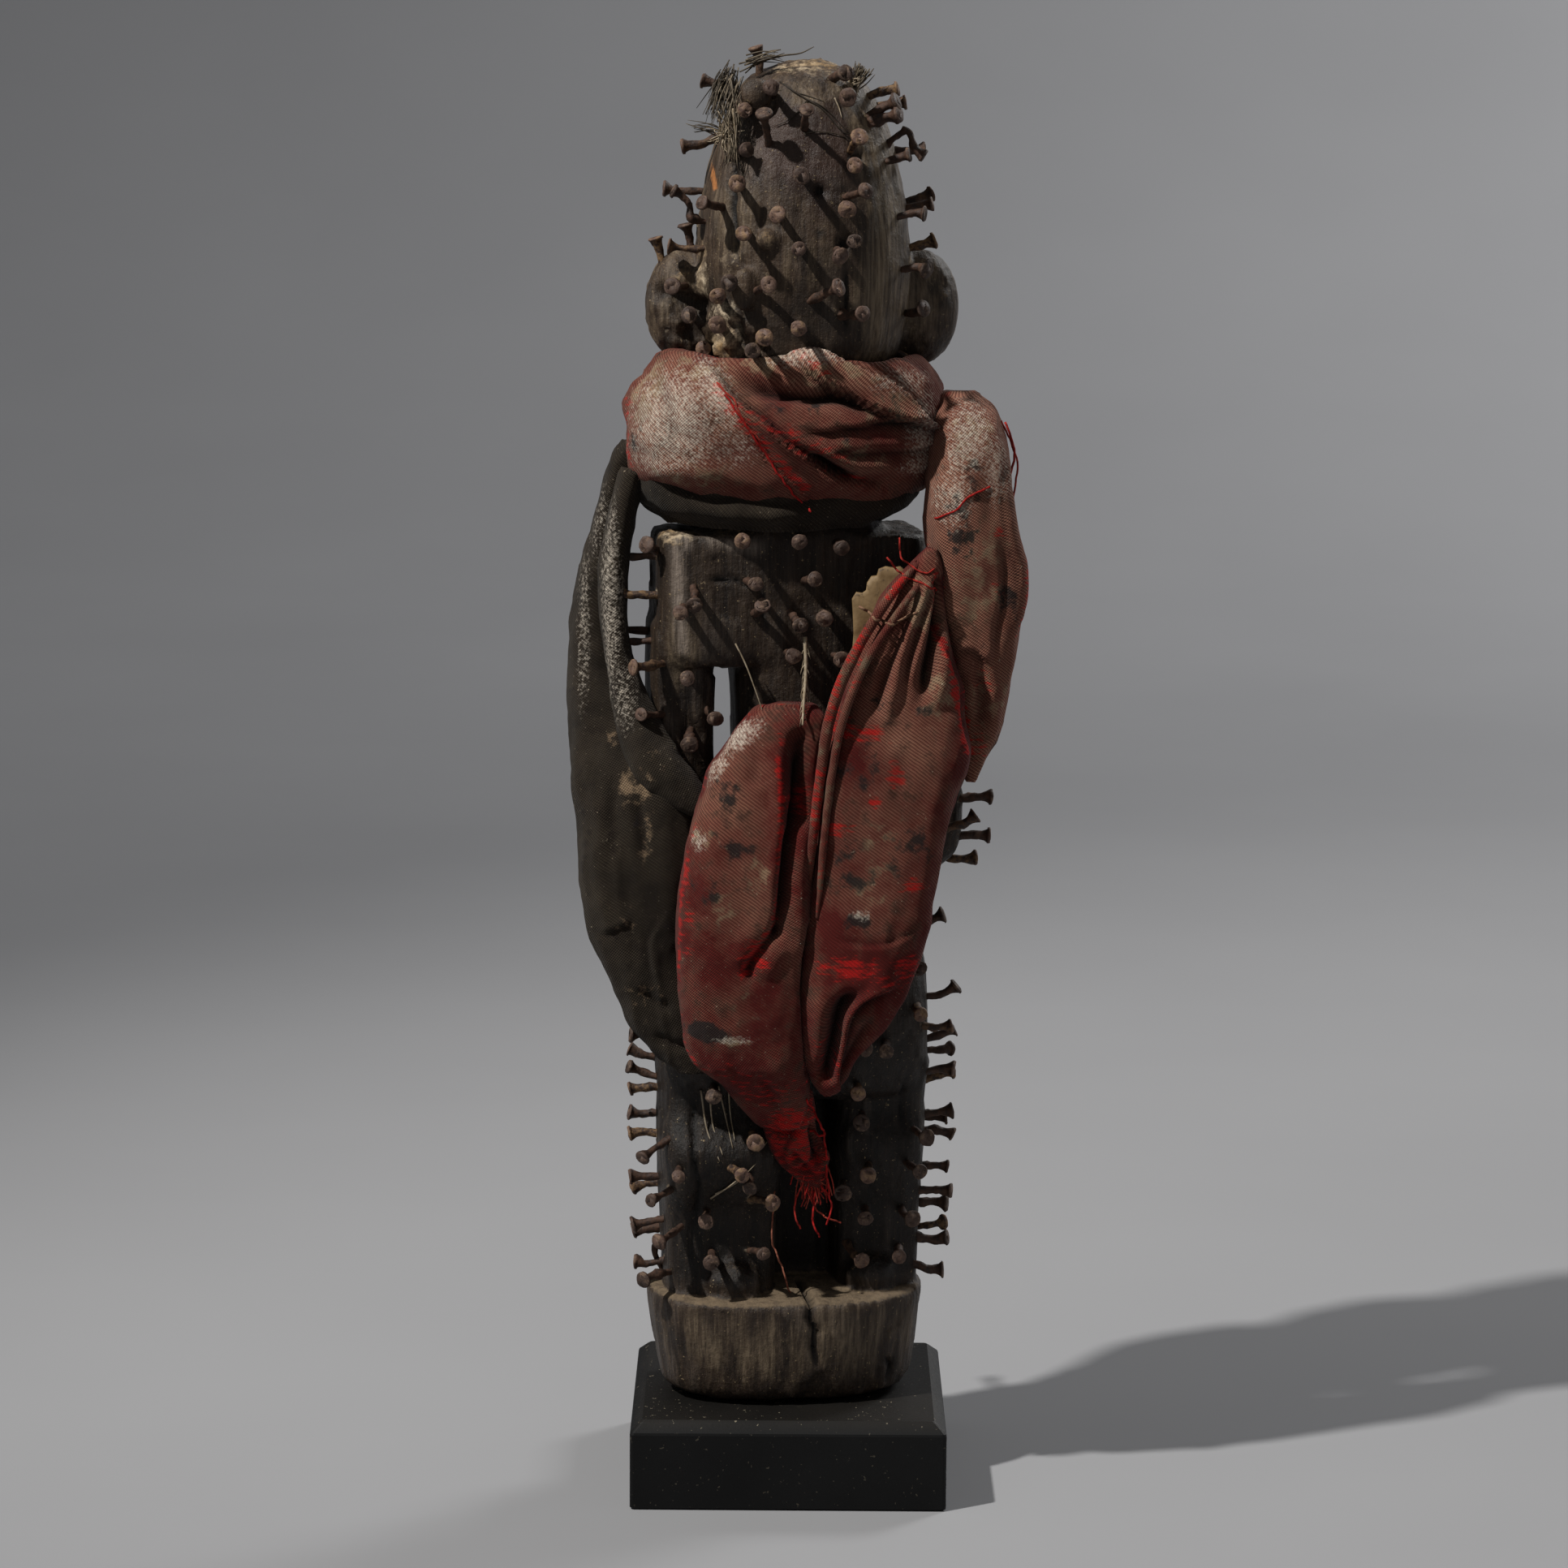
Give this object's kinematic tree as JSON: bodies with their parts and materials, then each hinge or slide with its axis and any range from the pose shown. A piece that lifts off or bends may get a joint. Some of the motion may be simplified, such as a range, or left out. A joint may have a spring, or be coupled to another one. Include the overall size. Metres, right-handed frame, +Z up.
{
  "type": "nail fetish figure",
  "caption": "Carved wooden power figure set with iron nails, wrapped in red and dark cloth, on a black block.",
  "frame": {"origin": "middle of the plinth's underside", "axes": "+Z up; the figure's back, the side in the picture, faces -Y and its face looks along +Y; +X is its right"},
  "size_m": [0.0955, 0.0654, 0.3132],
  "materials": {
    "carved_wood": "dark weathered hardwood with crusted patina and pale dust",
    "plinth_black": "matt black paint",
    "rusty_iron": "rust-brown hand-made nails",
    "red_twill": "dusty red coarse twill with stains",
    "dark_felt": "olive-grey felt-like cloth with grit",
    "horn": "tan translucent-looking horn or hide, dusty",
    "dry_fibre": "dry bristle, straw and feather"
  },
  "bodies": {
    "root": {"bristle_tuft": "dry_fibre", "dark_cloth": "dark_felt", "feather_strand": "dry_fibre", "horn_scrap": "horn", "nail_head_01": "rusty_iron", "nail_head_02": "rusty_iron", "nail_head_03": "rusty_iron", "nail_head_04": "rusty_iron", "nail_head_05": "rusty_iron", "nail_head_06": "rusty_iron", "nail_head_07": "rusty_iron", "nail_head_08": "rusty_iron", "nail_head_09": "rusty_iron", "nail_head_10": "rusty_iron", "nail_head_11": "rusty_iron", "nail_head_12": "rusty_iron", "nail_head_13": "rusty_iron", "nail_head_14": "rusty_iron", "nail_head_15": "rusty_iron", "nail_head_16": "rusty_iron", "nail_head_17": "rusty_iron", "nail_head_18": "rusty_iron", "nail_head_19": "rusty_iron", "nail_head_20": "rusty_iron", "nail_leg_01": "rusty_iron", "nail_leg_02": "rusty_iron", "nail_leg_03": "rusty_iron", "nail_leg_04": "rusty_iron", "nail_leg_05": "rusty_iron", "nail_leg_06": "rusty_iron", "nail_leg_07": "rusty_iron", "nail_leg_08": "rusty_iron", "nail_leg_09": "rusty_iron", "nail_leg_10": "rusty_iron", "nail_leg_11": "rusty_iron", "nail_leg_12": "rusty_iron", "nail_leg_13": "rusty_iron", "nail_leg_14": "rusty_iron", "nail_shoulder_01": "rusty_iron", "nail_shoulder_02": "rusty_iron", "nail_torso_01": "rusty_iron", "nail_torso_02": "rusty_iron", "nail_torso_03": "rusty_iron", "nail_torso_04": "rusty_iron", "nail_torso_05": "rusty_iron", "nail_torso_06": "rusty_iron", "nail_torso_07": "rusty_iron", "nail_torso_08": "rusty_iron", "nail_torso_09": "rusty_iron", "nail_torso_10": "rusty_iron", "nail_torso_11": "rusty_iron", "nail_torso_12": "rusty_iron", "nail_torso_13": "rusty_iron", "nail_torso_14": "rusty_iron", "plinth": "plinth_black", "red_cloth": "red_twill", "twig_tuft": "dry_fibre", "wooden_figure": "carved_wood"}
  },
  "joints": []
}
